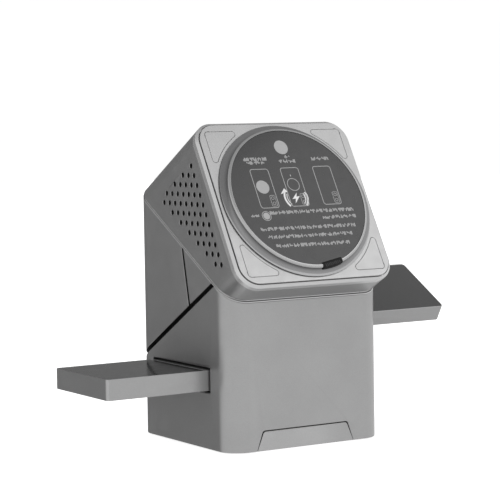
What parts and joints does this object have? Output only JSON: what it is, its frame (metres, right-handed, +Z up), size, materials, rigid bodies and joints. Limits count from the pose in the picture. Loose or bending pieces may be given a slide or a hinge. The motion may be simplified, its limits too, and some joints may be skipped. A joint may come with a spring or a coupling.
{
  "type": "phone charging stand",
  "caption": "Desk stand that charges a phone on a tilted magnetic disc, with a head that swivels on a mitre joint and two slide-out charging trays.",
  "frame": {"origin": "centre of the foot pad's underside, where the column's axis meets the table", "axes": "+Z up the column, +X to the right seen from the front, +Y to the rear; the head leans over towards -Y"},
  "size_m": [0.1614, 0.0829, 0.1269],
  "materials": {
    "grey_shell": "satin grey metallic coat",
    "silver_face": "fine satin",
    "disc_rim": "gloss, dark chrome-like coat",
    "disc_top": "printed film, soft gloss",
    "tray_top": "dark gloss",
    "dark_plastic": "moulded, fine grain",
    "foot_rubber": "matt rubber",
    "steel_parts": "bright steel",
    "brass_parts": "plain turned",
    "circuit_board": "solder mask",
    "bearing_plastic": "natural acetal",
    "coil_copper": "enamelled copper wire",
    "shield_ferrite": "sintered ferrite"
  },
  "bodies": {
    "column": {"foot_pad": "foot_rubber", "base_plate": "dark_plastic", "base_screws": "steel_parts", "ballast_plate": "steel_parts", "lower_shell": "grey_shell", "rear_cover": "grey_shell", "side_gusset": "grey_shell", "seam_liner": "dark_plastic", "mitre_trim": "silver_face", "front_hatch": "grey_shell", "deck_plate": "dark_plastic", "deck_screws": "steel_parts", "lower_swivel_ring": "steel_parts", "swivel_stop_pin": "steel_parts", "detent_plungers": "brass_parts", "main_board": "circuit_board", "board_parts": "dark_plastic", "board_standoffs": "brass_parts", "usb_inlet": "steel_parts", "left_rails": "dark_plastic", "right_rails": "dark_plastic", "left_detent_spring": "steel_parts", "right_detent_spring": "steel_parts"},
    "head": {"head_shell": "grey_shell", "face_bezel": "silver_face", "face_plate": "silver_face", "corner_pads": "silver_face", "face_screws": "steel_parts", "upper_swivel_ring": "bearing_plastic", "swivel_tube": "steel_parts", "swivel_washer": "brass_parts", "swivel_clip": "steel_parts", "disc_carrier": "dark_plastic", "disc_bush": "brass_parts", "fan_frame": "dark_plastic", "fan_screws": "steel_parts", "head_board": "circuit_board"},
    "fan": {"fan_rotor": "dark_plastic"},
    "disc": {"disc_housing": "disc_rim", "disc_ring": "silver_face", "disc_plate": "disc_top", "disc_latch": "dark_plastic", "magnet_ring": "steel_parts", "phone_coil": "coil_copper", "coil_shield": "shield_ferrite", "disc_spindle": "steel_parts", "spindle_clip": "steel_parts"},
    "left_tray": {"left_tray_shell": "grey_shell", "left_tray_inlay": "tray_top", "left_tray_coil": "coil_copper", "left_tray_shield": "shield_ferrite", "left_tray_cover": "dark_plastic", "left_tray_pins": "steel_parts"},
    "right_tray": {"right_tray_shell": "grey_shell", "right_tray_inlay": "tray_top", "right_tray_coil": "coil_copper", "right_tray_shield": "shield_ferrite", "right_tray_cover": "dark_plastic", "right_tray_pins": "steel_parts"}
  },
  "joints": [
    {"name": "head_swivel", "type": "hinge", "parent": "column", "child": "head", "pos_m": [0, 0, 0.08], "axis": [0, -0.5, 0.866], "range_deg": [0, 180]},
    {"name": "disc_spin", "type": "hinge", "parent": "head", "child": "disc", "pos_m": [0, -0.02849, 0.09645], "axis": [0, -0.866, 0.5], "range_deg": [-90, 90]},
    {"name": "fan_spin", "type": "hinge", "parent": "head", "child": "fan", "pos_m": [0, -0.0113, 0.09923], "axis": [0, -0.866, 0.5], "continuous": true},
    {"name": "left_tray_slide", "type": "slide", "parent": "column", "child": "left_tray", "axis": [1, 0, 0], "range_m": [0, 0.0447]},
    {"name": "right_tray_slide", "type": "slide", "parent": "column", "child": "right_tray", "axis": [-1, 0, 0], "range_m": [0, 0.0447]}
  ]
}
